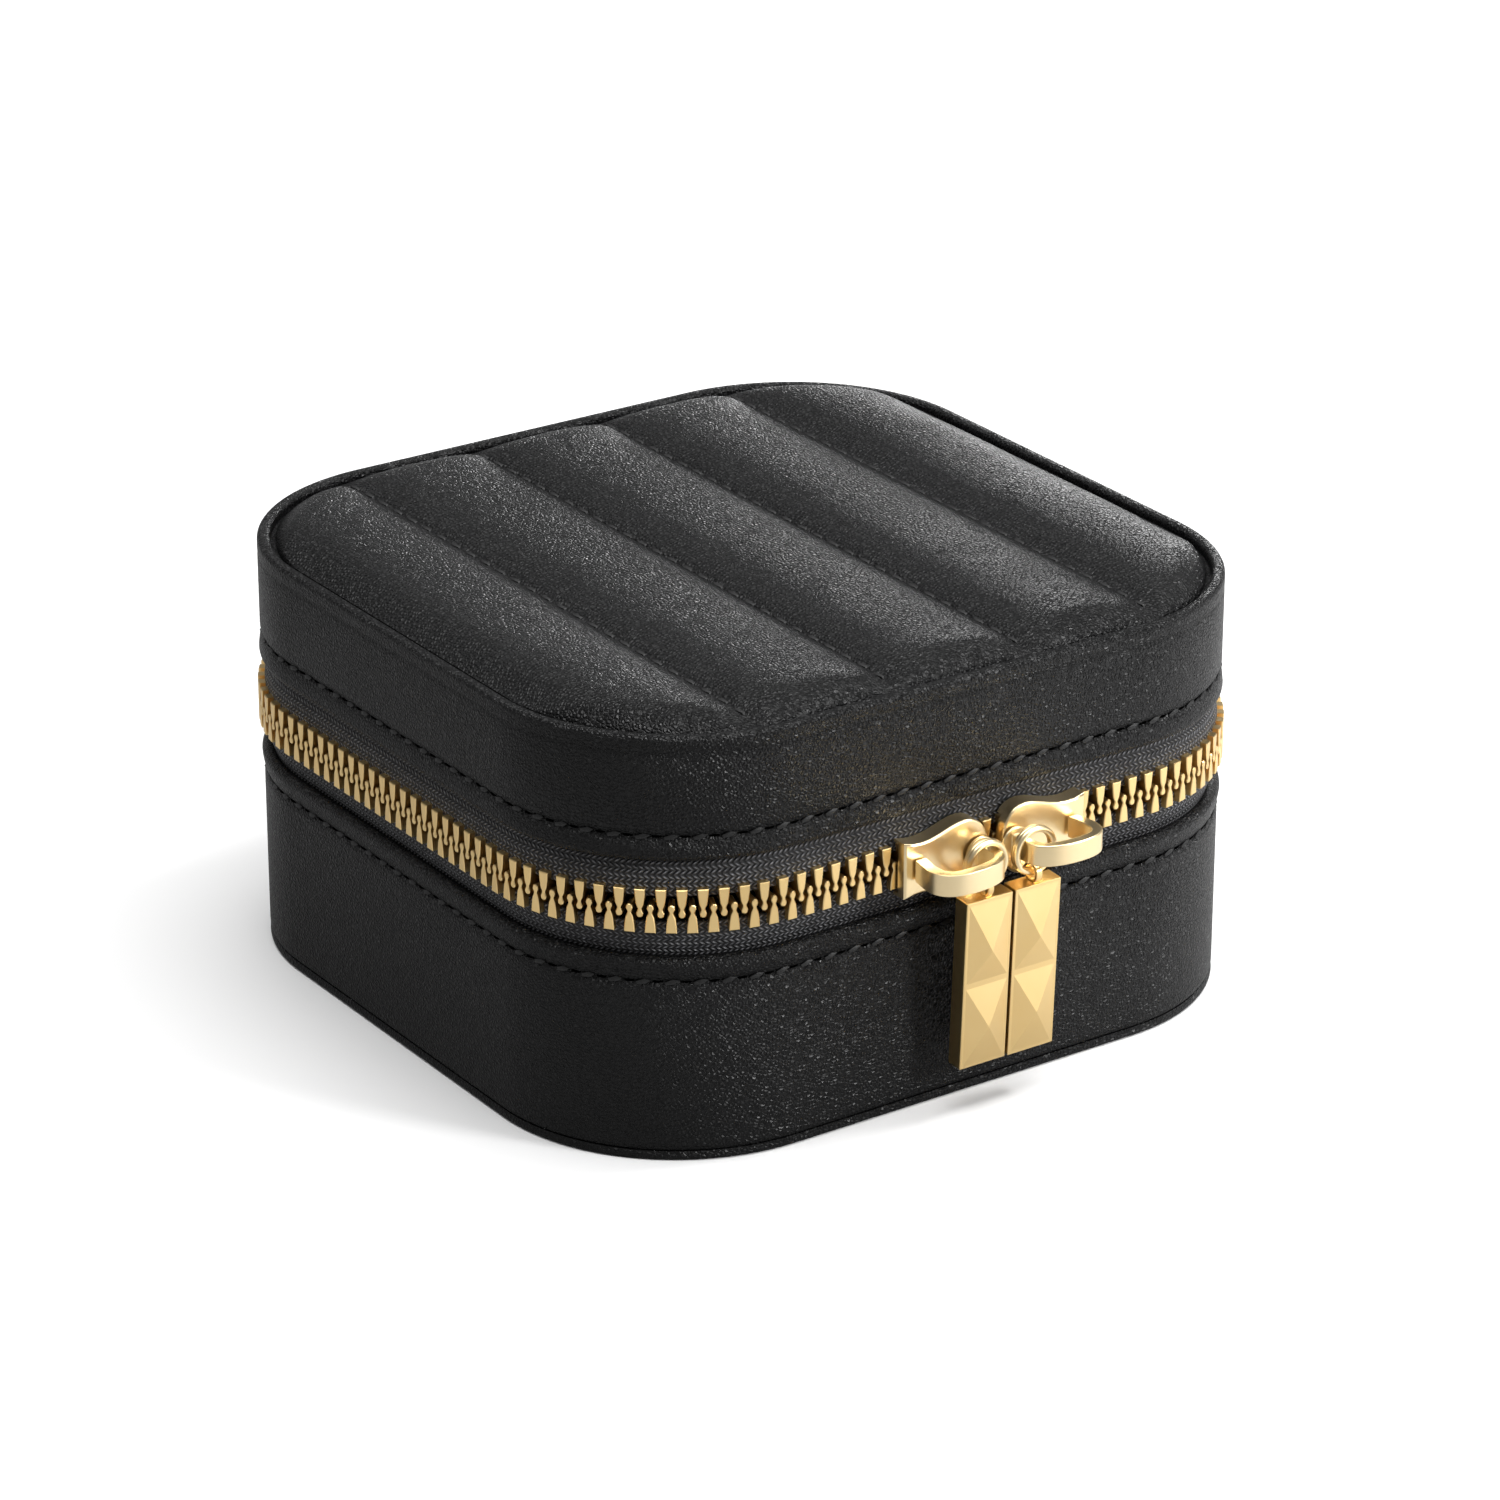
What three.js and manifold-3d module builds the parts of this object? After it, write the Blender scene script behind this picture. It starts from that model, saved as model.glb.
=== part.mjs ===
// A small quilted jewellery case: a leather box and lid joined by a two-way metal zip.
// Millimetres. The front, with the two sliders, faces -Y. The case rests on z = 0.
import * as THREE from 'three';
import * as BufferGeometryUtils from 'three/addons/utils/BufferGeometryUtils.js';
import Module from 'manifold-3d';

const wasm = await Module();
wasm.setup();

// Driving dimensions of the case
const halfWidth = 52;
const halfDepth = 51;
const cornerRadius = 26;
const cornerSteps = 10;
const rimHeight = 56;
const crownHeight = 58;
const zipLevel = 33.6;
const bandReach = 6.3; // from the zip's middle to the leather edge above or below it
const clearance = 0.3; // left between neighbouring pieces

// Thicknesses of the wall, from the outside in
const leatherThickness = 1.2;
const tapeThickness = 0.6;
const boardThickness = 2;
const liningThickness = 1;

// The zip
const tapeInset = 0.4;
const tapeReach = 15;
const tapeFromMiddle = 2.3;
const zipEnd = 24; // half the plain stretch at the back
const teethOutset = 0.5;
const teethInset = 1.9;
const teethNear = 0.9;
const teethFar = 3;

// Sliders, rings and pulls, measured from the middle of the pair, outward from the wall
const pairCentre = 1.8;
const noseEnd = 1;
const tailEnd = 13.6;
const plateFrom = 0.8;
const plateTo = 2.3;
const tailHalf = 3.7; // half the plate's height at its straight end
const shoulder = 4.7; // and at its widest
const crestShare = 0.28; // where along the plate its widest place lies
const waistReach = 4; // length of the narrowing next to the straight end
const waistShare = 0.65; // how far the narrowing draws in
const noseRound = 1;
const backPlate = 1; // thickness of the plate behind the teeth
const backTrim = 0.4; // how much smaller it is all round
const postWidth = 2;
const legNear = 1.95; // the strap's straight leg, near the nose
const legFar = 3.25;
const legOut = 5.9;
const bowOut = 9.3; // the furthest reach of the strap's bow
const bowThickness = 1.4;
const bowMiddle = 7.9;
const bowEnd = 12.8;
const bowSweep = 3.4; // length of the bow's curve next to the leg
const bowSweepInside = 3;
const legRound = 1.1;
const legRoundInside = 0.7;
const tailRound = 1.8;
const toeHeight = 3; // the strap's short foot at the tail
const toeLean = 0.5;
const toeWidth = 1.6;
const bridgeHeight = 2.8;
const legFlange = 2.2; // radius of the disc that the leg stands on
const legFlangeThickness = 0.5;
const ringOffset = 3.65;
const ringOut = 5.1;
const ringRadius = 2.9;
const ringWire = 0.4;
const ringLevel = 33.3;
const barTop = -4.05; // below the middle of the ring
const barWidth = 6.9;
const barLength = 22.9;
const barThickness = 2.5;
const barLean = 2.5; // degrees, bottom towards the case
const eyeRadius = 1.4;
const eyeHole = 1;
const eyeWidth = 0.9;
const pyramidHeight = 1;
const pyramidMargin = 0.25;
const pyramidSunk = 0.05; // how deep the pyramids reach into the bar
const apexDrop = [1.1, 0.2]; // how far each pyramid's point lies below its middle

// Inside
const rollCount = 5;
const rollRadius = 4.9;
const rollPitch = 10.2;
const dividerThickness = 2;
const dividerTop = 22;
const dividerBack = 8; // rear face of the long divider
const seamPitch = 20; // between the valleys of the quilting
const mirrorFrameInset = 8;
const mirrorFrameWidth = 7;
const mirrorFrameDepth = 3.2;
const foamThickness = 1.4;

const tapeHiddenInset = leatherThickness + clearance;
const boardInset = tapeHiddenInset + tapeThickness + clearance;
const boardInner = boardInset + boardThickness;
const liningInset = boardInner + clearance;
const liningInner = liningInset + liningThickness;
const baseEdge = zipLevel - bandReach;
const lidEdge = zipLevel + bandReach;
const floorTop = 4.6;
const ceiling = 50.7;

// Materials
const leather = { color: 0x1b1b1c, roughness: 0.48, metalness: 0 };
const greyBoard = { color: 0x8d8577, roughness: 0.9, metalness: 0 };
const wovenTape = { color: 0x0e0e0f, roughness: 0.85, metalness: 0 };
const gold = { color: 0xe6c583, roughness: 0.24, metalness: 1 };
const velvet = { color: 0x1f1d1e, roughness: 0.95, metalness: 0 };
const foam = { color: 0x55534f, roughness: 0.95, metalness: 0 };
const mirror = { color: 0xdfe4e6, roughness: 0.03, metalness: 1 };

const object = new THREE.Group();

function place(name, geometry, material) {
  const mesh = new THREE.Mesh(geometry, new THREE.MeshStandardMaterial(material));
  mesh.name = name;
  object.add(mesh);
  return mesh;
}

// Joining and cutting

function solid(geometry) {
  const bare = geometry.clone();
  bare.deleteAttribute('normal');
  bare.deleteAttribute('uv');
  const merged = BufferGeometryUtils.mergeVertices(bare);
  const vertProperties = merged.attributes.position.array;
  const triVerts = new Uint32Array(merged.index.array);
  return new wasm.Manifold(new wasm.Mesh({ numProp: 3, vertProperties, triVerts }));
}

function surface(manifold) {
  const mesh = manifold.getMesh();
  const geometry = new THREE.BufferGeometry();
  geometry.setAttribute('position', new THREE.BufferAttribute(mesh.vertProperties, 3));
  geometry.setIndex(new THREE.BufferAttribute(mesh.triVerts, 1));
  geometry.computeVertexNormals();
  return geometry;
}

function join(...geometries) {
  return surface(geometries.map(solid).reduce((sum, next) => sum.add(next)));
}

function cut(body, ...tools) {
  return surface(tools.map(solid).reduce((rest, tool) => rest.subtract(tool), solid(body)));
}

function common(first, second) {
  return surface(solid(first).intersect(solid(second)));
}

// The outline is a rectangle with round corners; an inset moves it in from the outer wall.

function cornerPoints(quarter, inset) {
  const x = (halfWidth - cornerRadius) * (quarter === 0 || quarter === 3 ? 1 : -1);
  const y = (halfDepth - cornerRadius) * (quarter < 2 ? 1 : -1);
  const points = [];
  for (let step = 0; step <= cornerSteps; step += 1) {
    const angle = (quarter + step / cornerSteps) * Math.PI / 2;
    const radius = cornerRadius - inset;
    points.push(new THREE.Vector2(x + radius * Math.cos(angle), y + radius * Math.sin(angle)));
  }
  return points;
}

function outline(inset) {
  return [0, 1, 2, 3].flatMap((quarter) => cornerPoints(quarter, inset));
}

function slab(shape, low, high) {
  const geometry = new THREE.ExtrudeGeometry(shape, { depth: high - low, bevelEnabled: false });
  return geometry.translate(0, 0, low);
}

function panel(inset, low, high) {
  return slab(new THREE.Shape(outline(inset)), low, high);
}

function wall(outer, inner, low, high) {
  const shape = new THREE.Shape(outline(outer));
  shape.holes.push(new THREE.Path(outline(inner)));
  return slab(shape, low, high);
}

// A band that goes round the front and sides and stops at each side of the back
function openPath(inset, end) {
  const back = halfDepth - inset;
  const corners = [1, 2, 3, 0].flatMap((quarter) => cornerPoints(quarter, inset));
  return [new THREE.Vector2(-end, back), ...corners, new THREE.Vector2(end, back)];
}

// near and far are distances from the zip's middle, up for side 1 and down for side -1
function openBand(side, outer, inner, near, far, end = zipEnd) {
  const shape = new THREE.Shape([...openPath(outer, end), ...openPath(inner, end).reverse()]);
  const low = zipLevel + Math.min(side * near, side * far);
  return slab(shape, low, low + far - near);
}

// Base and lid shells

// The board is thinner where the zip tape is glued between it and the leather.
function sideBoard(foot, tapeLimit, edge) {
  const thin = wall(boardInset, boardInner, Math.min(foot, edge), Math.max(foot, edge));
  const thick = wall(tapeHiddenInset, boardInner, Math.min(foot, tapeLimit), Math.max(foot, tapeLimit));
  return join(thin, thick);
}

function baseLining() {
  const block = panel(liningInset, floorTop - liningThickness, baseEdge - clearance);
  return cut(block, panel(liningInner, floorTop, baseEdge + clearance));
}

function lidLining() {
  const block = panel(liningInset, lidEdge + clearance, ceiling + liningThickness);
  return cut(block, panel(liningInner, lidEdge, ceiling));
}

// Five puffs that run from front to back, cut to the shape of the lid
function quiltedTop(low) {
  const valley = low + 0.8;
  const shape = new THREE.Shape();
  const reach = 2.5 * seamPitch + 2;
  shape.moveTo(-reach, low);
  shape.lineTo(-reach, valley);
  for (let puff = -2; puff <= 2; puff += 1) {
    const right = puff === 2 ? reach : (puff + 0.5) * seamPitch;
    shape.quadraticCurveTo(puff * seamPitch, 2 * crownHeight - valley, right, valley);
  }
  shape.lineTo(reach, low);
  const options = { depth: 2 * halfDepth, bevelEnabled: false, curveSegments: 6 };
  const puffs = new THREE.ExtrudeGeometry(shape, options);
  puffs.rotateX(Math.PI / 2).translate(0, halfDepth, 0);
  return common(puffs, panel(leatherThickness * 2, low - 1, crownHeight + 1));
}

// Zip

function zipTape(side) {
  const bend = bandReach - clearance;
  const hidden = tapeHiddenInset + tapeThickness;
  return join(
    openBand(side, tapeInset, tapeInset + tapeThickness, tapeFromMiddle, bend),
    openBand(side, tapeInset, hidden, bend - tapeThickness, bend),
    openBand(side, tapeHiddenInset, hidden, bend - tapeThickness, tapeReach),
  );
}

// The row of teeth, grooved to straddle the edge of its tape
function teethRow(side) {
  const row = openBand(side, -teethOutset, teethInset, teethNear, teethFar);
  const outer = tapeInset - clearance;
  const inner = tapeInset + tapeThickness + clearance;
  const groove = openBand(side, outer, inner, tapeFromMiddle - clearance, teethFar + 1, zipEnd - 1);
  return cut(row, groove);
}

// The leather fold that the lid turns on, between the two ends of the zip
function hingeStrip(side) {
  const bend = bandReach - clearance;
  const inner = tapeInset + tapeThickness;
  const hidden = tapeHiddenInset + tapeThickness;
  const section = [
    [tapeInset, clearance], [tapeInset, bend], [tapeHiddenInset, bend], [tapeHiddenInset, tapeReach],
    [hidden, tapeReach], [hidden, bend - tapeThickness], [inner, bend - tapeThickness], [inner, clearance],
  ];
  const points = section.map(([inset, rise]) => new THREE.Vector2(-inset, side * rise));
  const width = 2 * (zipEnd - clearance);
  const strip = new THREE.ExtrudeGeometry(new THREE.Shape(points), { depth: width, bevelEnabled: false });
  // The section's x becomes Y and its y becomes Z.
  strip.rotateX(Math.PI / 2).rotateZ(Math.PI / 2);
  return strip.translate(-width / 2, halfDepth, zipLevel);
}

// Sliders. side is -1 for the left one and 1 for the right one.

function plate(side, trim, from, to) {
  const at = (x, z) => [side * x, z];
  const nose = noseEnd + trim;
  const tail = tailEnd - trim;
  const high = shoulder - trim;
  const low = tailHalf - trim;
  const crest = nose + (tail - nose) * crestShare;
  const dip = tail - waistReach;
  const waist = (tail + nose) / 2;
  const shape = new THREE.Shape();
  shape.moveTo(...at(tail, -low));
  shape.lineTo(...at(tail, low));
  shape.bezierCurveTo(...at(dip, low * waistShare), ...at(waist, high), ...at(crest, high));
  shape.bezierCurveTo(...at(nose + noseRound, high), ...at(nose, high / 2), ...at(nose, 0));
  shape.bezierCurveTo(...at(nose, -high / 2), ...at(nose + noseRound, -high), ...at(crest, -high));
  shape.bezierCurveTo(...at(waist, -high), ...at(dip, -low * waistShare), ...at(tail, -low));
  const options = { depth: to - from, bevelEnabled: false, curveSegments: 8 };
  const geometry = new THREE.ExtrudeGeometry(shape, options);
  return geometry.rotateX(Math.PI / 2).translate(pairCentre, -halfDepth - from, zipLevel);
}

function sliderBody(side) {
  const backFrom = -(boardInset + backPlate);
  const backTo = -boardInset;
  const postHeight = 2 * (teethNear - clearance);
  const postDepth = plateTo - backFrom - backPlate;
  const post = new THREE.BoxGeometry(postWidth, postDepth, postHeight);
  const postOut = backFrom + (postDepth + backPlate) / 2;
  post.translate(pairCentre + side * (noseEnd + postWidth), -halfDepth - postOut, zipLevel);
  return join(plate(side, 0, plateFrom, plateTo), post, plate(side, backTrim, backFrom, backTo));
}

// The bowed strap that carries the ring: a straight leg near the nose and a wide bow to the tail
function sliderBridge(side) {
  const foot = plateTo + clearance;
  const inside = bowOut - bowThickness;
  const at = (x, out) => [side * x, -out];
  const shape = new THREE.Shape();
  shape.moveTo(...at(legNear, foot));
  shape.lineTo(...at(legNear, legOut));
  const outerStart = bowMiddle - bowSweep;
  const innerStart = bowMiddle - bowSweepInside;
  const innerTail = bowEnd - bowThickness;
  shape.bezierCurveTo(...at(legNear, bowOut - legRound), ...at(outerStart, bowOut), ...at(bowMiddle, bowOut));
  shape.bezierCurveTo(...at(bowEnd - tailRound, bowOut), ...at(bowEnd, bowOut - 1),
    ...at(bowEnd, foot + toeHeight));
  shape.lineTo(...at(bowEnd - toeLean, foot));
  shape.lineTo(...at(bowEnd - toeLean - toeWidth, foot));
  shape.lineTo(...at(bowEnd - toeWidth, foot + toeHeight - toeLean));
  shape.bezierCurveTo(...at(innerTail, inside), ...at(innerTail - bowThickness, inside),
    ...at(bowMiddle, inside));
  shape.bezierCurveTo(...at(innerStart, inside), ...at(legFar, inside - legRoundInside),
    ...at(legFar, legOut));
  shape.lineTo(...at(legFar, foot));
  const options = { depth: bridgeHeight, bevelEnabled: false, curveSegments: 8 };
  const strap = new THREE.ExtrudeGeometry(shape, options).translate(0, 0, -bridgeHeight / 2);
  const flange = new THREE.CylinderGeometry(legFlange, legFlange, legFlangeThickness, 24);
  flange.translate(side * (legNear + legFar) / 2, -foot - legFlangeThickness / 2, 0);
  return join(strap, flange).translate(pairCentre, -halfDepth, zipLevel);
}

function ring() {
  return new THREE.TorusGeometry(ringRadius, ringWire, 8, 24).scale(1, 1, 2).rotateX(Math.PI / 2);
}

// One of the two flat pyramids on the front of a bar. row is 0 for the upper one and 1 for the lower.
function pyramid(row, face) {
  const height = pyramidHeight + pyramidSunk;
  const geometry = new THREE.ConeGeometry(Math.SQRT1_2, 1, 4, 1).rotateY(Math.PI / 4).rotateX(Math.PI);
  geometry.scale(barWidth - 2 * pyramidMargin, height, barLength / 2 - pyramidMargin);
  geometry.translate(0, -height / 2, 0);
  const shear = new THREE.Matrix4().makeShear(0, 0, 0, apexDrop[row] / pyramidHeight, 0, 0);
  return geometry.applyMatrix4(shear).translate(0, face + pyramidSunk, barTop - barLength * (row + 0.5) / 2);
}

// A pull bar, drawn about the centre of the ring it hangs from
function pullBar() {
  const body = new THREE.BoxGeometry(barWidth, barThickness, barLength);
  body.translate(0, 0, barTop - barLength / 2);
  const eye = new THREE.CylinderGeometry(eyeRadius, eyeRadius, eyeWidth, 32);
  const hole = new THREE.CylinderGeometry(eyeHole, eyeHole, eyeWidth + 1, 32);
  for (const round of [eye, hole]) {
    round.rotateZ(Math.PI / 2).translate(0, 0, -ringRadius);
  }
  const face = -barThickness / 2;
  return join(cut(join(body, eye), hole), pyramid(0, face), pyramid(1, face));
}

// Inside

function roll(index) {
  const y = dividerBack - dividerThickness - clearance - rollRadius - index * rollPitch;
  const reachY = Math.abs(y) + rollRadius - (halfDepth - cornerRadius);
  const inner = cornerRadius - liningInner;
  const pinch = reachY > 0 ? inner - Math.sqrt(inner * inner - reachY * reachY) : 0;
  const length = 2 * (halfWidth - liningInner - pinch - clearance);
  const geometry = new THREE.CylinderGeometry(rollRadius, rollRadius, length, 16).rotateZ(Math.PI / 2);
  return geometry.translate(0, y, floorTop + clearance + rollRadius);
}

function dividerLong() {
  const height = dividerTop - floorTop - clearance;
  const width = 2 * (halfWidth - liningInner - clearance);
  const geometry = new THREE.BoxGeometry(width, dividerThickness, height);
  return geometry.translate(0, dividerBack - dividerThickness / 2, dividerTop - height / 2);
}

function dividerCross() {
  const height = dividerTop - floorTop - clearance;
  const front = dividerBack + clearance;
  const back = halfDepth - liningInner - clearance;
  const geometry = new THREE.BoxGeometry(dividerThickness, back - front, height);
  return geometry.translate(0, (front + back) / 2, dividerTop - height / 2);
}

// Base
const footTop = 1;
const boardFoot = footTop + clearance + boardThickness + clearance;
place('base_bottom_leather', panel(0, 0, footTop), leather);
place('base_side_leather', wall(0, leatherThickness, footTop + clearance, baseEdge), leather);
place('base_bottom_board', panel(tapeHiddenInset, footTop + clearance, boardFoot - clearance), greyBoard);
const tapeFoot = zipLevel - tapeReach - clearance;
place('base_wall_board', sideBoard(boardFoot, tapeFoot, baseEdge - clearance), greyBoard);
place('base_lining', baseLining(), velvet);
for (let index = 0; index < rollCount; index += 1) {
  place(`ring_roll_${index + 1}`, roll(index), velvet);
}
place('divider_long', dividerLong(), velvet);
place('divider_cross', dividerCross(), velvet);
place('lower_zip_tape', zipTape(-1), wovenTape);
place('lower_zip_teeth', teethRow(-1), gold);
place('hinge_strip_lower', hingeStrip(-1), leather);

// Lid
const boardHead = 52;
const topBoardTop = boardHead + clearance + boardThickness;
const quiltFoot = topBoardTop + clearance + foamThickness;
const tapeHead = zipLevel + tapeReach + clearance;
place('lid_side_leather', wall(0, leatherThickness, lidEdge, rimHeight), leather);
place('lid_wall_board', sideBoard(boardHead, tapeHead, lidEdge + clearance), greyBoard);
place('lid_top_board', panel(tapeHiddenInset, boardHead + clearance, topBoardTop), greyBoard);
place('quilt_foam', panel(boardInset + clearance, topBoardTop + clearance, quiltFoot), foam);
place('quilted_top_leather', quiltedTop(quiltFoot + clearance), leather);
place('lid_lining', lidLining(), velvet);
const frameTop = ceiling - clearance;
const glassInset = mirrorFrameInset + mirrorFrameWidth;
place('mirror_frame', wall(mirrorFrameInset, glassInset, frameTop - mirrorFrameDepth, frameTop), leather);
place('mirror_glass', panel(glassInset + clearance, ceiling - 2, ceiling - 2 * clearance), mirror);
place('upper_zip_tape', zipTape(1), wovenTape);
place('upper_zip_teeth', teethRow(1), gold);
place('hinge_strip_upper', hingeStrip(1), leather);

// Sliders, rings and pulls
for (const [name, side] of [['left', -1], ['right', 1]]) {
  place(`slider_${name}_body`, sliderBody(side), gold);
  place(`slider_${name}_bridge`, sliderBridge(side), gold);
  const centre = [pairCentre + side * ringOffset, -halfDepth - ringOut, ringLevel];
  place(`ring_${name}`, ring(), gold).position.set(...centre);
  const eye = ringRadius; // the bar leans about the hole it hangs by
  const bar = pullBar().translate(0, 0, eye).rotateX(THREE.MathUtils.degToRad(barLean));
  place(`pull_bar_${name}`, bar.translate(0, 0, -eye), gold).position.set(...centre);
}

export default object;
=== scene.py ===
import math

import bmesh
import bpy
from mathutils import Matrix, Vector


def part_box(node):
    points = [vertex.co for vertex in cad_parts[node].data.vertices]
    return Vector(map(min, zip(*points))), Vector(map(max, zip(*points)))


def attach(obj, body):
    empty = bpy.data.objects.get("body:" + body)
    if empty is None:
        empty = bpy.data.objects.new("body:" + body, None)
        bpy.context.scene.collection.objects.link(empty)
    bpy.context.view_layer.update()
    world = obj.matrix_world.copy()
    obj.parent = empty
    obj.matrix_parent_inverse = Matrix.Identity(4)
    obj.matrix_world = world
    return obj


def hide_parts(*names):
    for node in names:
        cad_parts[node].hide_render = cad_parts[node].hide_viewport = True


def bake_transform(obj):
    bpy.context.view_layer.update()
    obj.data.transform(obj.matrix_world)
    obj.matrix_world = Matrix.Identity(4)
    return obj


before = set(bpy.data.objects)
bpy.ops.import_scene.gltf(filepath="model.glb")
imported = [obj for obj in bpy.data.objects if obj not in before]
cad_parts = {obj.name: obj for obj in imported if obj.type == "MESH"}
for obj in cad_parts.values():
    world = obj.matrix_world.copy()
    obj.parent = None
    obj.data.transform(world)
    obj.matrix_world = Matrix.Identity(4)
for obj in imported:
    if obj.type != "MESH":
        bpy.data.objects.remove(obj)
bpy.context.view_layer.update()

mm = 0.001
weld = 0.002 * mm  # points closer than this are one

# the case's own outline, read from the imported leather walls
baseLow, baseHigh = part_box("base_side_leather")
lidLow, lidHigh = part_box("lid_side_leather")
halfWide, halfDeep = baseHigh.x, baseHigh.y
zipLevel = (baseHigh.z + lidLow.z) / 2
outline = {"cornerRadius": 26 * mm, "cornerSegments": 28, "leather": 1.2 * mm}


# ---- outline helpers

def straights():
    radius = outline["cornerRadius"]
    return halfWide - radius, halfDeep - radius


def locate(distance):
    # walks the outline from the middle of the back, round by the left side
    radius = outline["cornerRadius"]
    wide, deep = straights()
    arc = radius * math.pi / 2
    place, heading = Vector((0, halfDeep)), Vector((-1, 0))
    for step, run in enumerate([wide, arc, 2 * deep, arc, 2 * wide, arc, 2 * deep, arc, wide]):
        part = min(distance, run)
        if step % 2:
            turn = Matrix.Rotation(part / radius, 2)
            centre = place + Vector((-heading.y, heading.x)) * radius
            place, heading = centre + turn @ (place - centre), turn @ heading
        else:
            place = place + heading * part
        distance -= part
        if distance <= 0:
            break
    return place, heading


def outlineLength():
    wide, deep = straights()
    return 4 * (wide + deep) + 2 * math.pi * outline["cornerRadius"]


def alongAt(point):
    # the distance that locate() would need to reach this side of the outline
    wide, deep = straights()
    nearX, nearY = max(-wide, min(wide, point.x)), max(-deep, min(deep, point.y))
    full, slack = 2 * math.pi, 0.001
    turned = (math.atan2(point.y - nearY, point.x - nearX) - math.pi / 2) % full
    if nearX > 0 and (turned < slack or turned > full - slack):
        turned = full
    elif turned > full - slack:
        turned = 0
    if turned <= math.pi / 2:
        run = deep - nearY - nearX
    elif turned <= math.pi:
        run = 2 * wide + deep - nearY + nearX
    elif turned <= 1.5 * math.pi:
        run = 2 * wide + 3 * deep + nearX + nearY
    else:
        run = 4 * wide + 3 * deep + nearY - nearX
    return turned * outline["cornerRadius"] + run


def roundedPanel(bm, inset, height):
    # a rectangle with its corners rounded by a vertex bevel
    corners = bmesh.ops.create_grid(bm, x_segments=1, y_segments=1, size=1)["verts"]
    bmesh.ops.scale(bm, vec=(halfWide - inset, halfDeep - inset, 1), verts=corners)
    bmesh.ops.translate(bm, vec=(0, 0, height), verts=corners)
    known = set(bm.faces) - {corners[0].link_faces[0]}
    bmesh.ops.bevel(
        bm, geom=corners, offset=outline["cornerRadius"] - inset, profile=0.5, material=-1,
        segments=outline["cornerSegments"], affect="VERTICES")
    return next(face for face in bm.faces if face not in known)


def setInset(vert, inset, height):
    wide, deep = straights()
    centre = Vector((math.copysign(wide, vert.co.x), math.copysign(deep, vert.co.y)))
    outward = (vert.co.xy - centre).normalized()
    place = centre + outward * (outline["cornerRadius"] - inset)
    vert.co = (place.x, place.y, height)


def sweepWall(bm, profile, fillFirst=False, fillLast=False):
    # carries a section of (inset, height) points round the outline
    panel = roundedPanel(bm, *profile[0])
    edges = list(panel.edges)
    if not fillFirst:
        bmesh.ops.delete(bm, geom=[panel], context="FACES_ONLY")
    for inset, height in profile[1:]:
        made = bmesh.ops.extrude_edge_only(bm, edges=edges)["geom"]
        verts = {part for part in made if isinstance(part, bmesh.types.BMVert)}
        for vert in verts:
            setInset(vert, inset, height)
        edges = [part for part in made if isinstance(part, bmesh.types.BMEdge) and set(part.verts) <= verts]
    if fillLast:
        bmesh.ops.contextual_create(bm, geom=edges)
    bmesh.ops.remove_doubles(bm, verts=bm.verts, dist=weld)
    bmesh.ops.recalc_face_normals(bm, faces=bm.faces)


def arcPoints(centre, radius, start, end, count):
    # points of a rounded fold in a section, angles in degrees
    spread = [start + (end - start) * step / count for step in range(count + 1)]
    return [(centre[0] + radius * math.cos(math.radians(a)), centre[1] + radius * math.sin(math.radians(a)))
            for a in spread]


def makePiece(name, bm, body, finish, replaced=(), sharpAngle=40):
    mesh = bpy.data.meshes.new(name)
    bm.to_mesh(mesh)
    bm.free()
    mesh.polygons.foreach_set("use_smooth", [True] * len(mesh.polygons))
    mesh.set_sharp_from_angle(angle=math.radians(sharpAngle))
    mesh.materials.append(finish)
    piece = bpy.data.objects.new(name, mesh)
    bpy.context.scene.collection.objects.link(piece)
    if body:
        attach(piece, body)
    if replaced:
        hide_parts(*replaced)
    return piece


# ---- shader helpers

class Value:
    # a socket that can be used in sums and products
    def __init__(self, surface, socket):
        self.surface, self.socket = surface, socket

    def __add__(self, other):
        return self.surface.math("ADD", self, other)

    def __sub__(self, other):
        return self.surface.math("SUBTRACT", self, other)

    def __rsub__(self, other):
        return self.surface.math("SUBTRACT", other, self)

    def __mul__(self, other):
        return self.surface.math("MULTIPLY", self, other)

    def __truediv__(self, other):
        return self.surface.math("DIVIDE", self, other)

    def __rtruediv__(self, other):
        return self.surface.math("DIVIDE", other, self)

    __radd__ = __add__
    __rmul__ = __mul__


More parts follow.
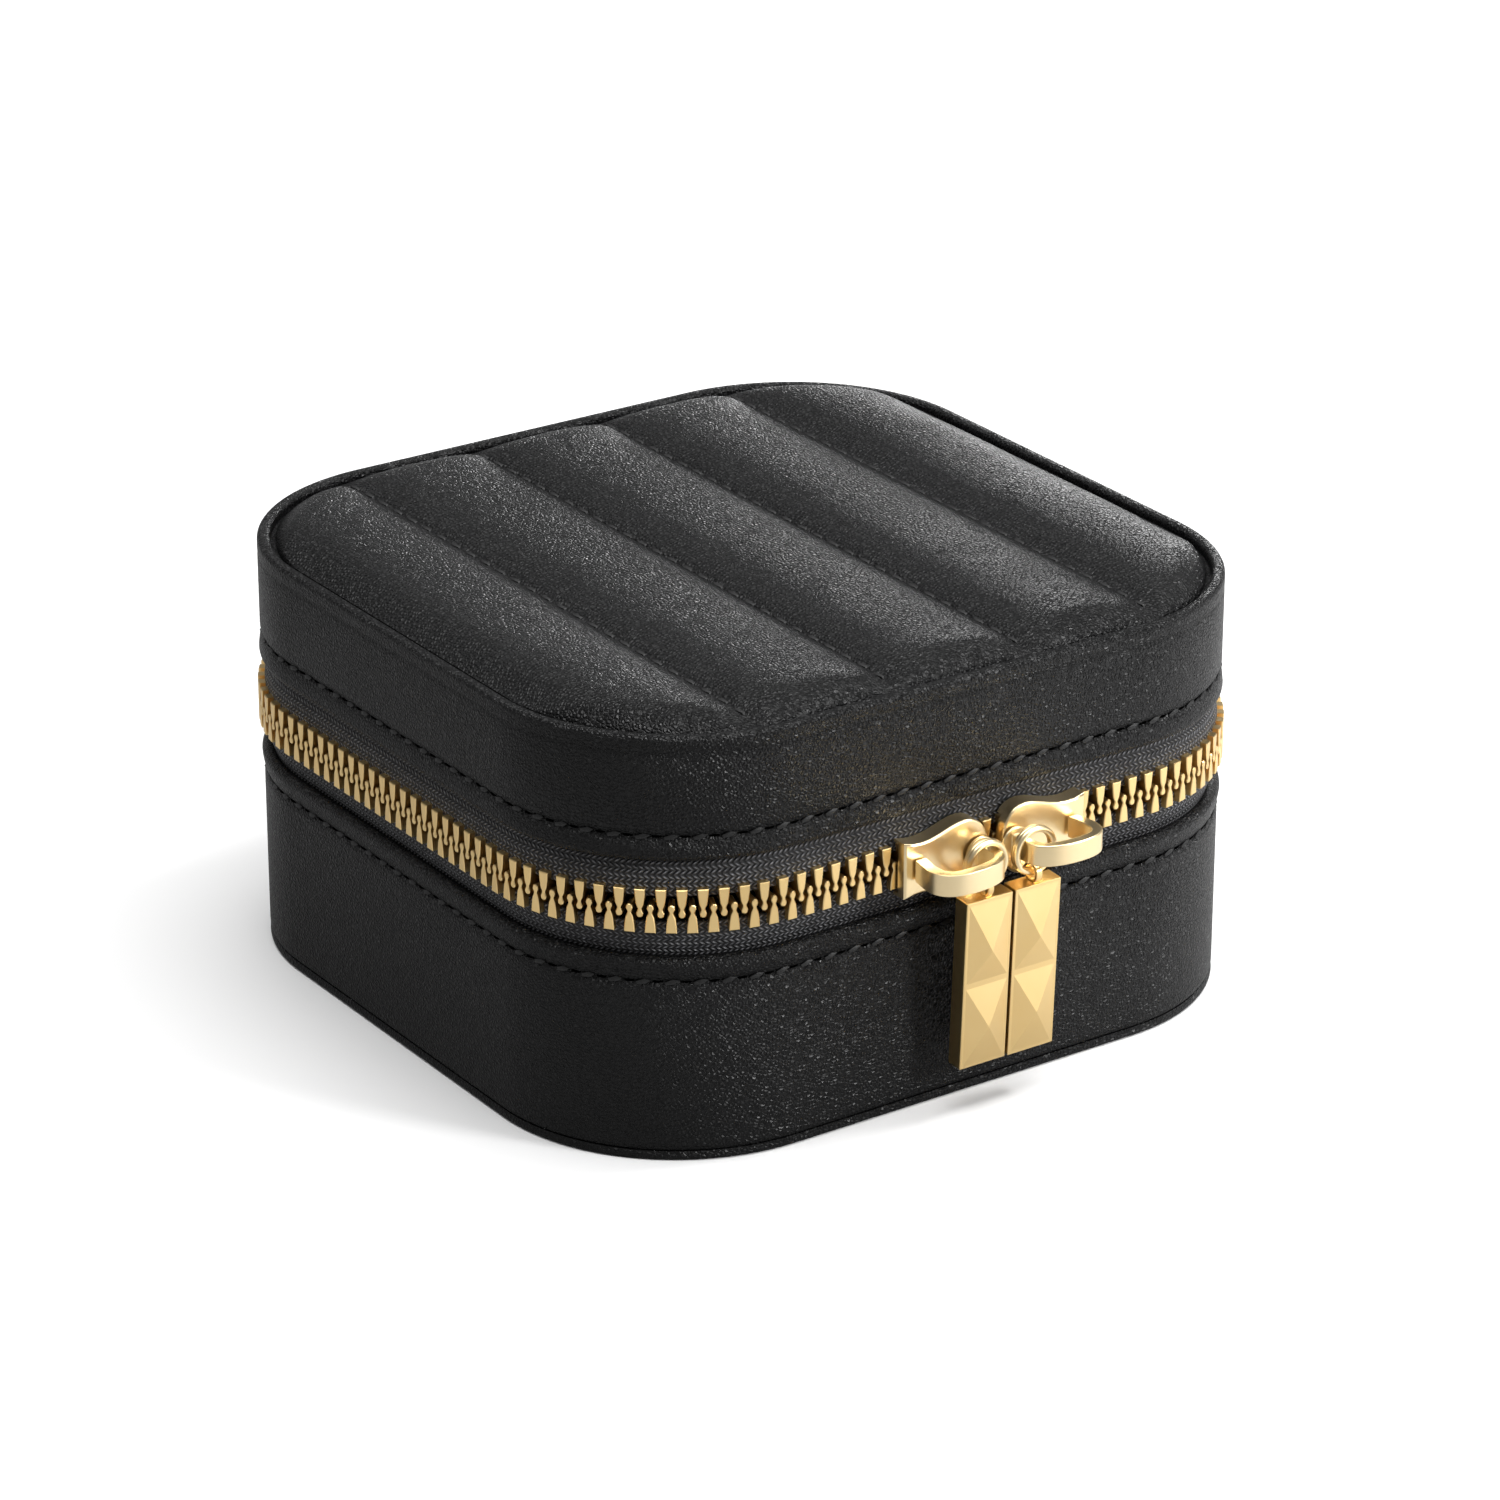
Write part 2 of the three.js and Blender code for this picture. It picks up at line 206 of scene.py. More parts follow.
class Surface:
    def __init__(self, name):
        self.material = bpy.data.materials.new(name)
        self.material.use_nodes = True
        self.tree = self.material.node_tree
        self.shader = self.tree.nodes["Principled BSDF"]

    def node(self, kind, settings=None, inputs=None):
        made = self.tree.nodes.new(kind)
        for key, value in (settings or {}).items():
            setattr(made, key, value)
        for key, value in (inputs or {}).items():
            self.feed(made.inputs[key], value)
        return made

    def feed(self, socket, value):
        source = value.socket if isinstance(value, Value) else value
        if isinstance(source, bpy.types.NodeSocket):
            self.tree.links.new(source, socket)
        else:
            socket.default_value = source

    def value(self, kind, output, settings=None, inputs=None):
        return Value(self, self.node(kind, settings, inputs).outputs[output])

    def math(self, operation, *values):
        return self.value("ShaderNodeMath", 0, {"operation": operation}, dict(enumerate(values)))

    def position(self):
        return self.node("ShaderNodeTexCoord").outputs["Object"]

    def noise(self, vector, scale, detail=2.0, roughness=0.5):
        return self.value("ShaderNodeTexNoise", "Fac", None,
                          {"Vector": vector, "Scale": scale, "Detail": detail, "Roughness": roughness})

    def cells(self, vector, scale, feature):
        return self.value("ShaderNodeTexVoronoi", "Distance", {"feature": feature},
                          {"Vector": vector, "Scale": scale})

    def blendColours(self, amount, first, second):
        return self.node("ShaderNodeMix", {"data_type": "RGBA"}, {0: amount, 6: first, 7: second}).outputs[2]

    def set(self, **inputs):
        for name, value in inputs.items():
            self.feed(self.shader.inputs[name.replace("_", " ")], value)

    def bump(self, height, distance):
        bumped = self.node("ShaderNodeBump", None, {"Height": height, "Distance": distance, "Strength": 1.0})
        self.feed(self.shader.inputs["Normal"], bumped.outputs["Normal"])


# ---- finishes

# the second leather colour is a painted highlight on the pebble crowns
leatherLook = {
    "tint": (0.0018, 0.0018, 0.002, 1), "crownHighlight": (0.0085, 0.0085, 0.009, 1),
    "pebble": 2000, "crease": 700, "patch": 70, "relief": 0.18 * mm, "roughness": 0.3,
    "dulling": 0.14, "specular": 0.26}


def makeLeather(name, relief=1.0):
    surface = Surface(name)
    place = surface.position()
    pebble = surface.cells(place, leatherLook["pebble"], "DISTANCE_TO_EDGE")
    crease = surface.noise(place, leatherLook["crease"], 3, 0.6)
    patch = surface.noise(place, leatherLook["patch"], 3, 0.55)
    crown = surface.math("MINIMUM", pebble * 2.4, 1.0)
    height = crown * 0.8 + crease * 0.5
    # painted highlight and shade on the grain: the colour is lighter on the pebble crowns and darker between
    # them, varied at random by patch
    colour = surface.blendColours(crown * (patch + 0.15), leatherLook["tint"], leatherLook["crownHighlight"])
    rough = leatherLook["roughness"] + (patch - 0.5 + 1 - crown) * leatherLook["dulling"]
    surface.set(Base_Color=colour, Specular_IOR_Level=leatherLook["specular"], Roughness=rough)
    surface.bump(height, leatherLook["relief"] * relief)
    return surface.material


goldLook = {"pale": (0.94, 0.70, 0.34, 1), "deep": (0.9, 0.63, 0.27, 1), "roughness": 0.3}
plateLook = {"pale": (0.97, 0.80, 0.5, 1), "deep": (0.95, 0.75, 0.43, 1), "roughness": 0.3}


def makeGold(name, look):
    surface = Surface(name)
    place = surface.position()
    cloud = surface.noise(place, 160, 2)
    brushing = surface.noise(place, 2600, 2, 0.6)
    surface.set(Base_Color=surface.blendColours(cloud, look["pale"], look["deep"]), Metallic=1.0,
                Roughness=look["roughness"] + (cloud - 0.5) * 0.06)
    surface.bump(brushing, 0.0004 * mm)
    return surface.material


tapeLook = {"thread": 0.75 * mm, "row": 0.55 * mm, "relief": 0.3 * mm}


def makeTape(name):
    # rows of slanting threads that change direction from row to row
    surface = Surface(name)
    weaveMap = surface.node("ShaderNodeUVMap", {"uv_map": "weave"}).outputs[0]
    flat = surface.node("ShaderNodeSeparateXYZ", None, {0: weaveMap})
    along, across = Value(surface, flat.outputs[0]), Value(surface, flat.outputs[1])
    rows = across / tapeLook["row"]
    ridge = surface.math("PINGPONG", rows, 1.0)
    slanted = along / tapeLook["thread"] + ridge * 0.8
    thread = surface.math("SINE", slanted * (2 * math.pi)) * 0.5 + 0.5
    gutter = surface.math("SINE", rows * math.pi)
    weave = thread * (gutter * gutter * 0.7 + 0.3)
    fuzz = surface.noise(surface.position(), 3500, 2)
    glint = weave * weave * surface.noise(surface.position(), 900, 1) * 1.6
    surface.set(Base_Color=surface.blendColours(glint, (0.0015, 0.0015, 0.002, 1), (0.3, 0.3, 0.32, 1)),
                Roughness=0.62 - weave * 0.25, Specular_IOR_Level=0.5)
    surface.bump(weave + fuzz * 0.35, tapeLook["relief"])
    return surface.material


velvetLook = {"deep": (0.0225, 0.0216, 0.0225, 1), "tint": (0.05, 0.048, 0.05, 1), "pile": 2600,
              "relief": 0.12 * mm, "sheenTint": (0.5, 0.5, 0.52, 1)}


def makeVelvet(name):
    surface = Surface(name)
    place = surface.position()
    pile = surface.noise(place, velvetLook["pile"], 3, 0.7)
    shading = surface.noise(place, 45, 2)
    colour = surface.blendColours(pile * 0.5 + shading * 0.5, velvetLook["deep"], velvetLook["tint"])
    surface.set(Base_Color=colour, Roughness=0.92, Sheen_Weight=0.6, Sheen_Roughness=0.4,
                Sheen_Tint=velvetLook["sheenTint"], Specular_IOR_Level=0.2)
    surface.bump(pile, velvetLook["relief"])
    return surface.material


def makeThread(name):
    surface = Surface(name)
    place = surface.position()
    twist = surface.noise(place, 5200, 1)
    surface.set(Base_Color=surface.blendColours(twist, (0.0015, 0.0015, 0.0015, 1), (0.007, 0.007, 0.0075, 1)),
                Roughness=0.45 + twist * 0.2)
    surface.bump(twist, 0.05 * mm)
    return surface.material


def makeBoard(name):
    surface = Surface(name)
    fibre = surface.noise(surface.position(), 1500, 4, 0.7)
    surface.set(Base_Color=surface.blendColours(fibre, (0.2, 0.18, 0.15, 1), (0.32, 0.29, 0.25, 1)),
                Roughness=0.9)
    surface.bump(fibre, 0.05 * mm)
    return surface.material


def makeHoleShade(name):
    surface = Surface(name)
    # painted shade: a near-black matte bead stands for the shade inside a needle hole, with a slight random
    # mottle
    shadeMottle = surface.noise(surface.position(), 2400, 1)
    surface.set(Base_Color=surface.blendColours(shadeMottle, (0.0003, 0.0003, 0.0003, 1), (0.001, 0.001, 0.001, 1)),
                Roughness=1.0, Specular_IOR_Level=0.0)
    return surface.material


def makeMirror(name):
    surface = Surface(name)
    haze = surface.noise(surface.position(), 90, 2)
    surface.set(Base_Color=(0.86, 0.88, 0.88, 1), Metallic=1.0, Roughness=0.015 + haze * 0.02)
    return surface.material


leather = makeLeather("blackPebbleLeather")
smoothLeather = makeLeather("foldedLeather", 0.6)
gold = makeGold("paleGold", goldLook)
plateGold = makeGold("plateGold", plateLook)
tape = makeTape("wovenTape")
thread = makeThread("waxedThread")
needleHoleShade = makeHoleShade("needleHoleShade")
velvet = makeVelvet("charcoalVelvet")
board = makeBoard("greyBoard")
mirrorFace = makeMirror("silveredGlass")
print("finishes ready")


# ---- leather walls

baseWall = {"rollOut": 0.25 * mm, "rollRadius": 0.95 * mm, "stitchDrop": 3.3 * mm, "groove": 0.45 * mm}


def grooveProfile(level, depth, reach=0.45 * mm):
    # the shallow channel that the stitches pull into the leather
    return [(0, level - 2 * reach), (depth * 0.35, level - reach), (depth, level),
            (depth * 0.35, level + reach), (0, level + 2 * reach)]


def makeBaseWall():
    thick = outline["leather"]
    low, top, out = baseLow.z, baseHigh.z, baseWall["rollOut"]
    radius = baseWall["rollRadius"]
    stitch = top - baseWall["stitchDrop"]
    centre = (radius - out, top - radius)
    profile = [(thick, low), (0.35 * mm, low), (0.08 * mm, low + 0.25 * mm), (0, low + 0.8 * mm)]
    profile += grooveProfile(stitch, baseWall["groove"])
    profile += [(-out * 0.5, top - radius - 0.9 * mm)]
    profile += arcPoints(centre, radius, 180, 0, 10)
    profile += [(thick, top - radius - 0.8 * mm), (thick, low)]
    bm = bmesh.new()
    sweepWall(bm, profile)
    makePiece("baseSideLeather", bm, "base", leather, ["base_side_leather"])
    return stitch


lidWall = {"rollOut": 0.2 * mm, "rollRadius": 0.8 * mm, "stitchRise": 3.2 * mm, "groove": 0.45 * mm,
           "lipWidth": 1.7 * mm, "lipRound": 0.6 * mm, "lipDeep": 1.3 * mm,
           "ledgeWidth": 3.0 * mm, "ledgeThick": 0.4 * mm}


def makeLidWall():
    thick = outline["leather"]
    low, top, out = lidLow.z, lidHigh.z, lidWall["rollOut"]
    radius, lip, rounding = lidWall["rollRadius"], lidWall["lipWidth"], lidWall["lipRound"]
    stitch = low + lidWall["stitchRise"]
    profile = [(thick, low + radius + 0.8 * mm)]
    profile += arcPoints((radius - out, low + radius), radius, 0, -180, 10)
    profile += [(-out * 0.5, low + radius + 0.9 * mm)]
    profile += grooveProfile(stitch, lidWall["groove"])
    profile += [(0, top - 2.6 * mm), (0.12 * mm, top - 2.2 * mm), (0, top - 1.8 * mm)]
    profile += arcPoints((rounding, top - rounding), rounding, 180, 90, 5)
    profile += arcPoints((lip - rounding, top - rounding), rounding, 90, 0, 5)
    ledge, ledgeLow = top - lidWall["lipDeep"], top - lidWall["lipDeep"] - lidWall["ledgeThick"]
    profile += [(lip, ledge), (lidWall["ledgeWidth"], ledge), (lidWall["ledgeWidth"], ledgeLow)]
    profile += [(thick, ledgeLow), (thick, low + radius + 0.8 * mm)]
    bm = bmesh.new()
    sweepWall(bm, profile)
    makePiece("lidSideLeather", bm, "lid", leather, ["lid_side_leather"])
    return stitch


baseStitch = makeBaseWall()
lidStitch = makeLidWall()

underside = {"round": 0.5 * mm, "tuck": 0.9 * mm, "setBack": 0.15 * mm}


def makeUnderside():
    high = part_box("base_bottom_leather")[1]
    rounding, tuck = underside["round"], underside["tuck"]
    top = baseLow.z - 0.05 * mm
    profile = [(tuck, high.z), (tuck, top), (underside["setBack"], top), (0.02 * mm, high.z - 0.25 * mm)]
    profile += arcPoints((rounding, rounding), rounding, 180, 270, 4)
    bm = bmesh.new()
    sweepWall(bm, profile, fillFirst=True, fillLast=True)
    makePiece("undersideLeather", bm, "base", leather, ["base_bottom_leather"])


makeUnderside()
print("leather walls ready")


# ---- stitches

stitching = {"pitch": 3.5 * mm, "thread": (2.2 * mm, 0.8 * mm, 0.8 * mm), "slant": 14, "quiltSlant": 4,
             "proud": 0.12 * mm, "hole": (1.5 * mm, 0.95 * mm, 0.3 * mm)}


def addStitch(bm, place, heading, outward, size, slant=0):
    # a bead along the heading: its length, width and height are in size
    made = bmesh.ops.create_icosphere(bm, subdivisions=1, radius=0.5)["verts"]
    turn = Matrix((heading, outward.cross(heading), outward)).transposed().to_4x4()
    lean = Matrix.Rotation(math.radians(slant), 4, "Z")
    shape = Matrix.Translation(place) @ turn @ lean @ Matrix.Diagonal((*size, 1))
    bmesh.ops.transform(bm, matrix=shape, verts=made)


def makeStitchRow(side, level, depth, body):
    stitches, holeShades = bmesh.new(), bmesh.new()
    count = round(outlineLength() / stitching["pitch"])
    proud, slant = stitching["proud"], stitching["slant"]
    for number in range(count):
        # halfway between each two stitches a near-black bead is set in the groove: painted shade for the needle
        # hole
        for bm, size, part, deep, lean in ((stitches, stitching["thread"], 0.5, depth - proud, slant),
                                           (holeShades, stitching["hole"], 0, depth, 0)):
            place, heading = locate(outlineLength() * (number + part) / count)
            outward = Vector((heading.y, -heading.x, 0))
            spot = Vector((place.x, place.y, level)) - outward * deep
            addStitch(bm, spot, Vector((heading.x, heading.y, 0)), outward, size, lean)
    makePiece(f"{side}StitchRow", stitches, body, thread)
    makePiece(f"{side}StitchHoleShades", holeShades, body, needleHoleShade)


makeStitchRow("base", baseStitch, baseWall["groove"], "base")
makeStitchRow("lid", lidStitch, lidWall["groove"], "lid")
print("stitch rows ready")


# ---- zip

zipper = {"pitch": 2.5 * mm, "backGap": 24 * mm, "endGap": 1.2 * mm, "offMiddle": 1.8 * mm,
          "outset": 0.5 * mm, "depth": 2.3 * mm, "bevel": 0.1 * mm}


def openBack(bm, end):
    # takes out the stretch behind the hinge strip and closes the cut ends
    for side in (-1, 1):
        behind = [face for face in bm.faces if face.calc_center_median().y > 0]
        parts = {part for face in behind for part in [face, *face.edges, *face.verts]}
        bmesh.ops.bisect_plane(bm, geom=list(parts), plane_co=(side * end, 0, 0), plane_no=(1, 0, 0), dist=1e-7)
    doomed = [face for face in bm.faces
              if face.calc_center_median().y > 0 and abs(face.calc_center_median().x) < end]
    bmesh.ops.delete(bm, geom=doomed, context="FACES")
    bmesh.ops.holes_fill(bm, edges=[edge for edge in bm.edges if edge.is_boundary], sides=0)
    bmesh.ops.recalc_face_normals(bm, faces=bm.faces)


# the tape's outer face as inset from the outline and reach from the zip's middle, in millimetres
tapeHalf = {"thick": 0.5 * mm, "face": [(0.42, 1.7), (0.38, 2.6), (0.42, 3.4), (0.58, 4.3), (0.86, 5.2),
                                        (1.18, 6.0), (1.4, 6.9), (1.52, 8), (1.52, 13)]}


def makeTapeHalf(name, side, body, replaced):
    outer = [(inset * mm, reach * mm) for inset, reach in tapeHalf["face"]]
    inner = [(inset + tapeHalf["thick"], reach) for inset, reach in reversed(outer)]
    profile = [(inset, zipLevel + side * reach) for inset, reach in outer + inner + outer[:1]]
    bm = bmesh.new()
    sweepWall(bm, profile)
    openBack(bm, zipper["backGap"])
    weave = bm.loops.layers.uv.new("weave")
    for face in bm.faces:
        for loop in face.loops:
            loop[weave].uv = (alongAt(loop.vert.co), loop.vert.co.z)
    makePiece(name, bm, body, tape, [replaced])


# half a tooth from its foot to its head, as half width and rise in millimetres
toothHalf = [(0.66, 2.85), (0.6, 1.9), (0.46, 0.85), (0.22, 0.3), (0.24, 0.1), (0.42, -0.3), (0.34, -0.68),
             (0.14, -0.84)]


def makeTooth(side):
    # a flat wedge that narrows to a neck and ends in a round head
    ring = toothHalf + [(-wide, rise) for wide, rise in reversed(toothHalf)]
    bm = bmesh.new()
    verts = [bm.verts.new((wide * mm, -zipper["outset"], side * rise * mm)) for wide, rise in ring]
    front = bm.faces.new(verts)
    made = bmesh.ops.extrude_face_region(bm, geom=[front])["geom"]
    moved = [part for part in made if isinstance(part, bmesh.types.BMVert)]
    bmesh.ops.translate(bm, vec=(0, zipper["depth"], 0), verts=moved)
    bmesh.ops.recalc_face_normals(bm, faces=bm.faces)
    facing = min(bm.faces, key=lambda face: face.calc_center_median().y)
    bmesh.ops.bevel(bm, geom=list(facing.edges), offset=zipper["bevel"], segments=1, profile=0.5,
                    affect="EDGES", material=-1)
    mesh = bpy.data.meshes.new("tooth")
    bm.to_mesh(mesh)
    bm.free()
    return mesh


def makeTeeth(name, side, body, replaced, shift):
    tooth = makeTooth(side)
    bm = bmesh.new()
    total = outlineLength()
    middle = total / 2 + zipper["offMiddle"]
    first = zipper["backGap"] + zipper["endGap"]
    count = int((middle - first) / zipper["pitch"])
    last = int((total - first - middle) / zipper["pitch"])
    for number in range(-count, last + 1):
        place, heading = locate(middle + (number + shift) * zipper["pitch"])
        known = len(bm.verts)
        bm.from_mesh(tooth)
        bm.verts.ensure_lookup_table()
        outward = Vector((heading.y, -heading.x, 0))
        turn = Matrix((Vector((heading.x, heading.y, 0)), -outward, Vector((0, 0, 1)))).transposed()
        where = Matrix.Translation((place.x, place.y, zipLevel)) @ turn.to_4x4()
        bmesh.ops.transform(bm, matrix=where, verts=bm.verts[known:])
    makePiece(name, bm, body, gold, [replaced], sharpAngle=25)


makeTapeHalf("lowerTape", -1, "base", "lower_zip_tape")
makeTapeHalf("upperTape", 1, "lid", "upper_zip_tape")
makeTeeth("lowerTeeth", -1, "base", "lower_zip_teeth", 0.5)
makeTeeth("upperTeeth", 1, "lid", "upper_zip_teeth", 0)
print("zip ready")


# ---- quilted top

quilt = {"inset": 2.4 * mm, "seamPitch": 20 * mm, "puffs": 5, "valley": 0.1 * mm, "crown": 2.0 * mm,
         "edgeDrop": 0.7 * mm, "skirt": 1.6 * mm, "step": 1.0 * mm,
         "edgeColumns": 20, "rows": 78, "pressure": 4.0, "frames": 22, "blown": 0.4, "shoulder": 6 * mm,
         "bunching": 0.45, "rowBunching": 0.35}
padding = {"simScale": 10, "stiffness": 12, "bending": 1.5, "quality": 6, "mass": 0.4}


def quiltReach(x):
    # how far the pad runs front and back at this place across
    radius = outline["cornerRadius"] - quilt["inset"]
    wide, deep = straights()
    over = max(0.0, abs(x) - wide)
    return deep + math.sqrt(max(0.0, radius * radius - over * over))


def edgeShare(x, y):
    # 0 at the pad's edge, 1 once clear of it
    edge = max(0.0, min(quiltReach(x) - abs(y), halfWide - quilt["inset"] - abs(x)))
    return 1 - (1 - min(1.0, edge / quilt["shoulder"])) ** 2.4


def puffHeight(x, y):
    seam = abs((x / quilt["seamPitch"] + 0.5) % 1 - 0.5) * 2  # 0 on a crest, 1 on a seam
    across = (1 - seam ** 2.8) ** 0.7
    shoulder = edgeShare(x, y)
    floor = quilt["valley"] * shoulder - quilt["edgeDrop"] * (1 - shoulder)
    return floor + (quilt["crown"] - quilt["valley"]) * across * shoulder


def quiltGrid(bm):
    # columns fall on the seams, rows bunch up towards the front and back edges
    radius = outline["cornerRadius"] - quilt["inset"]
    wide = straights()[0]
    seamEnd = quilt["seamPitch"] * (quilt["puffs"] - 2) / 2
    inner = round(2 * seamEnd / quilt["step"])
    outer = quilt["edgeColumns"]
    columns = inner + 2 * outer
    bmesh.ops.create_grid(bm, x_segments=columns, y_segments=quilt["rows"], size=1)
    start = math.asin((seamEnd - wide) / radius)
    for vert in bm.verts:
        across = (vert.co.x + 1) / 2 * columns - columns / 2
        if abs(across) <= inner / 2:
            x = across * 2 * seamEnd / inner
            crest = round(x / quilt["seamPitch"]) * quilt["seamPitch"]
            part = (x - crest) / quilt["seamPitch"] * 2
            bunched = part + (math.sin(part * math.pi / 2) - part) * quilt["bunching"]  # closer near seams
            x = crest + quilt["seamPitch"] / 2 * bunched
        else:
            turn = start + (abs(across) - inner / 2) / outer * (math.pi / 2 - start)
            x = math.copysign(wide + radius * math.sin(turn), across)
        share = vert.co.y + (math.sin(vert.co.y * math.pi / 2) - vert.co.y) * quilt["rowBunching"]
        vert.co = (x, share * quiltReach(x), 0)


def onSeam(x):
    offset = abs((x / quilt["seamPitch"] + 0.5) % 1)
    return min(offset, 1 - offset) * quilt["seamPitch"] < 0.1 * mm and abs(x) < 2 * quilt["seamPitch"]


def inflate(bm, pins, pressure, frames):
    # blows a cover up between its pinned vertices; returns each vertex's new place
    grow = padding["simScale"]
    mesh = bpy.data.meshes.new("coverSim")
    bm.to_mesh(mesh)
    mesh.transform(Matrix.Scale(grow, 4))
    cover = bpy.data.objects.new("coverSim", mesh)
    bpy.context.scene.collection.objects.link(cover)
    cover.vertex_groups.new(name="sewn").add(pins, 1.0, "REPLACE")
    cloth = cover.modifiers.new("cloth", "CLOTH")
    cloth.settings.quality = padding["quality"]
    cloth.settings.mass = padding["mass"]
    cloth.settings.tension_stiffness = cloth.settings.compression_stiffness = padding["stiffness"]
    cloth.settings.bending_stiffness = padding["bending"]
    cloth.settings.vertex_group_mass = "sewn"
    cloth.settings.use_pressure = True
    cloth.settings.uniform_pressure_force = pressure
    cloth.settings.effector_weights.gravity = 0
    cloth.collision_settings.use_collision = False
    cloth.point_cache.frame_end = frames
    for number in range(1, frames + 1):
        bpy.context.scene.frame_set(number)
    posed = cover.evaluated_get(bpy.context.evaluated_depsgraph_get())
    places = [vert.co / grow for vert in posed.data.vertices]
    bpy.context.scene.frame_set(1)
    bpy.data.objects.remove(cover)
    return places


def makeQuilt():
    top = lidHigh.z
    bm = bmesh.new()
    quiltGrid(bm)
    bm.verts.index_update()
    pins = [vert.index for vert in bm.verts if vert.is_boundary or onSeam(vert.co.x)]
    places = inflate(bm, pins, quilt["pressure"], quilt["frames"])
    crest = max(place.z for place in places) if places else 1
    print("quilt crest", crest)
    for vert in bm.verts:
        x, y = vert.co.xy
        base = puffHeight(x, y)
        if places:
            place = places[vert.index]
            share = place.z / crest
            edge = edgeShare(x, y)
            low = quilt["valley"] * edge - quilt["edgeDrop"] * (1 - edge)
            blown = low + (quilt["crown"] - quilt["valley"]) * max(0.0, share)
            base = min(quilt["crown"], base + (blown - base) * quilt["blown"])
            x, y = x + (place.x - x) * 0.5, y + (place.y - y) * 0.5
        vert.co = (x, y, top + base)
    rim = [edge for edge in bm.edges if edge.is_boundary]
    made = bmesh.ops.extrude_edge_only(bm, edges=rim)["geom"]
    skirt = {part for part in made if isinstance(part, bmesh.types.BMVert)}
    for vert in skirt:
        vert.co.z = top - quilt["skirt"]
    lower = [part for part in made if isinstance(part, bmesh.types.BMEdge) and set(part.verts) <= skirt]
    bmesh.ops.contextual_create(bm, geom=lower)
    bmesh.ops.recalc_face_normals(bm, faces=bm.faces)
    piece = makePiece("quiltedTop", bm, "lid", leather, ["quilted_top_leather", "quilt_foam"], 60)


def makeQuiltStitches():
    bm = bmesh.new()
    for seam in range(quilt["puffs"] - 1):
        x = (seam - (quilt["puffs"] - 2) / 2) * quilt["seamPitch"]
        reach = quiltReach(x) - 2 * mm
        count = round(2 * reach / stitching["pitch"])
        for number in range(count):
            y = -reach + (number + 0.5) * 2 * reach / count
            spot = Vector((x, y, lidHigh.z + puffHeight(x, y) + 0.05 * mm))
            addStitch(bm, spot, Vector((0, 1, 0)), Vector((0, 0, 1)), stitching["thread"],
                      stitching["quiltSlant"])
    makePiece("quiltStitches", bm, "lid", thread)


makeQuilt()
makeQuiltStitches()
print("quilted top ready")


# ---- hinge strip

hingeFold = {"halfWidth": 23.9 * mm, "thick": 0.8 * mm}


# the lower half of the strip's section, as inset from the back and rise from the hinge in millimetres
hingeSection = [(1.5, -13), (1.5, -7.6), (1.3, -6.6), (0.75, -5.4), (0.35, -4.2), (0.2, -2.8), (0.3, -1.4),
                (0.45, 0)]


def makeHingeStrip():
    outer = hingeSection + [(inset, -rise) for inset, rise in reversed(hingeSection[:-1])]
    left = -hingeFold["halfWidth"]
    bm = bmesh.new()
    verts = [bm.verts.new((left, halfDeep - inset * mm, zipLevel + rise * mm)) for inset, rise in outer]
    edges = [bm.edges.new(pair) for pair in zip(verts, verts[1:])]
    bmesh.ops.subdivide_edges(bm, edges=edges, cuts=2, smooth=0.6)
    made = bmesh.ops.extrude_edge_only(bm, edges=bm.edges[:])["geom"]
    moved = [part for part in made if isinstance(part, bmesh.types.BMVert)]
    bmesh.ops.translate(bm, vec=(2 * hingeFold["halfWidth"], 0, 0), verts=moved)
    bmesh.ops.recalc_face_normals(bm, faces=bm.faces)
    if sum(face.normal.y for face in bm.faces) < 0:
        bmesh.ops.reverse_faces(bm, faces=bm.faces)
    bmesh.ops.solidify(bm, geom=bm.faces[:], thickness=hingeFold["thick"])
    bmesh.ops.recalc_face_normals(bm, faces=bm.faces)
    piece = makePiece("hingeStrip", bm, None, leather, ["hinge_strip_lower", "hinge_strip_upper"])
    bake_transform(piece)


makeHingeStrip()
print("hinge strip ready")


# ---- metal work

metal = {"segments": 3, "plateEdge": 0.3 * mm, "bridgeEdge": 0.5 * mm, "pullEdge": 0.16 * mm}
splitRing = {"stepsPerTurn": 44, "start": 150, "extra": 0.05 * mm}


def refinedCopy(name, node, body, bevel, angle=28, plainFrom=1.0, faceted=False):
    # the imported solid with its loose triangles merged; its edges in front of plainFrom are eased
    bm = bmesh.new()
    bm.from_mesh(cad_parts[node].data)
    bmesh.ops.remove_doubles(bm, verts=bm.verts, dist=weld)
    bmesh.ops.dissolve_limit(bm, angle_limit=math.radians(1), verts=bm.verts, edges=bm.edges)
    crisp = [edge for edge in bm.edges if edge.is_manifold and edge.calc_face_angle() > math.radians(angle)
             and max(vert.co.y for vert in edge.verts) < plainFrom]
    bmesh.ops.bevel(bm, geom=crisp, offset=bevel, segments=metal["segments"], profile=0.5, affect="EDGES",
                    material=-1, clamp_overlap=True)
    if faceted:
        makePiece(name, bm, body, gold, [node], sharpAngle=1)
        return
    piece = makePiece(name, bm, body, plateGold, [node])
    piece.modifiers.new("flatFaces", "WEIGHTED_NORMAL").keep_sharp = True


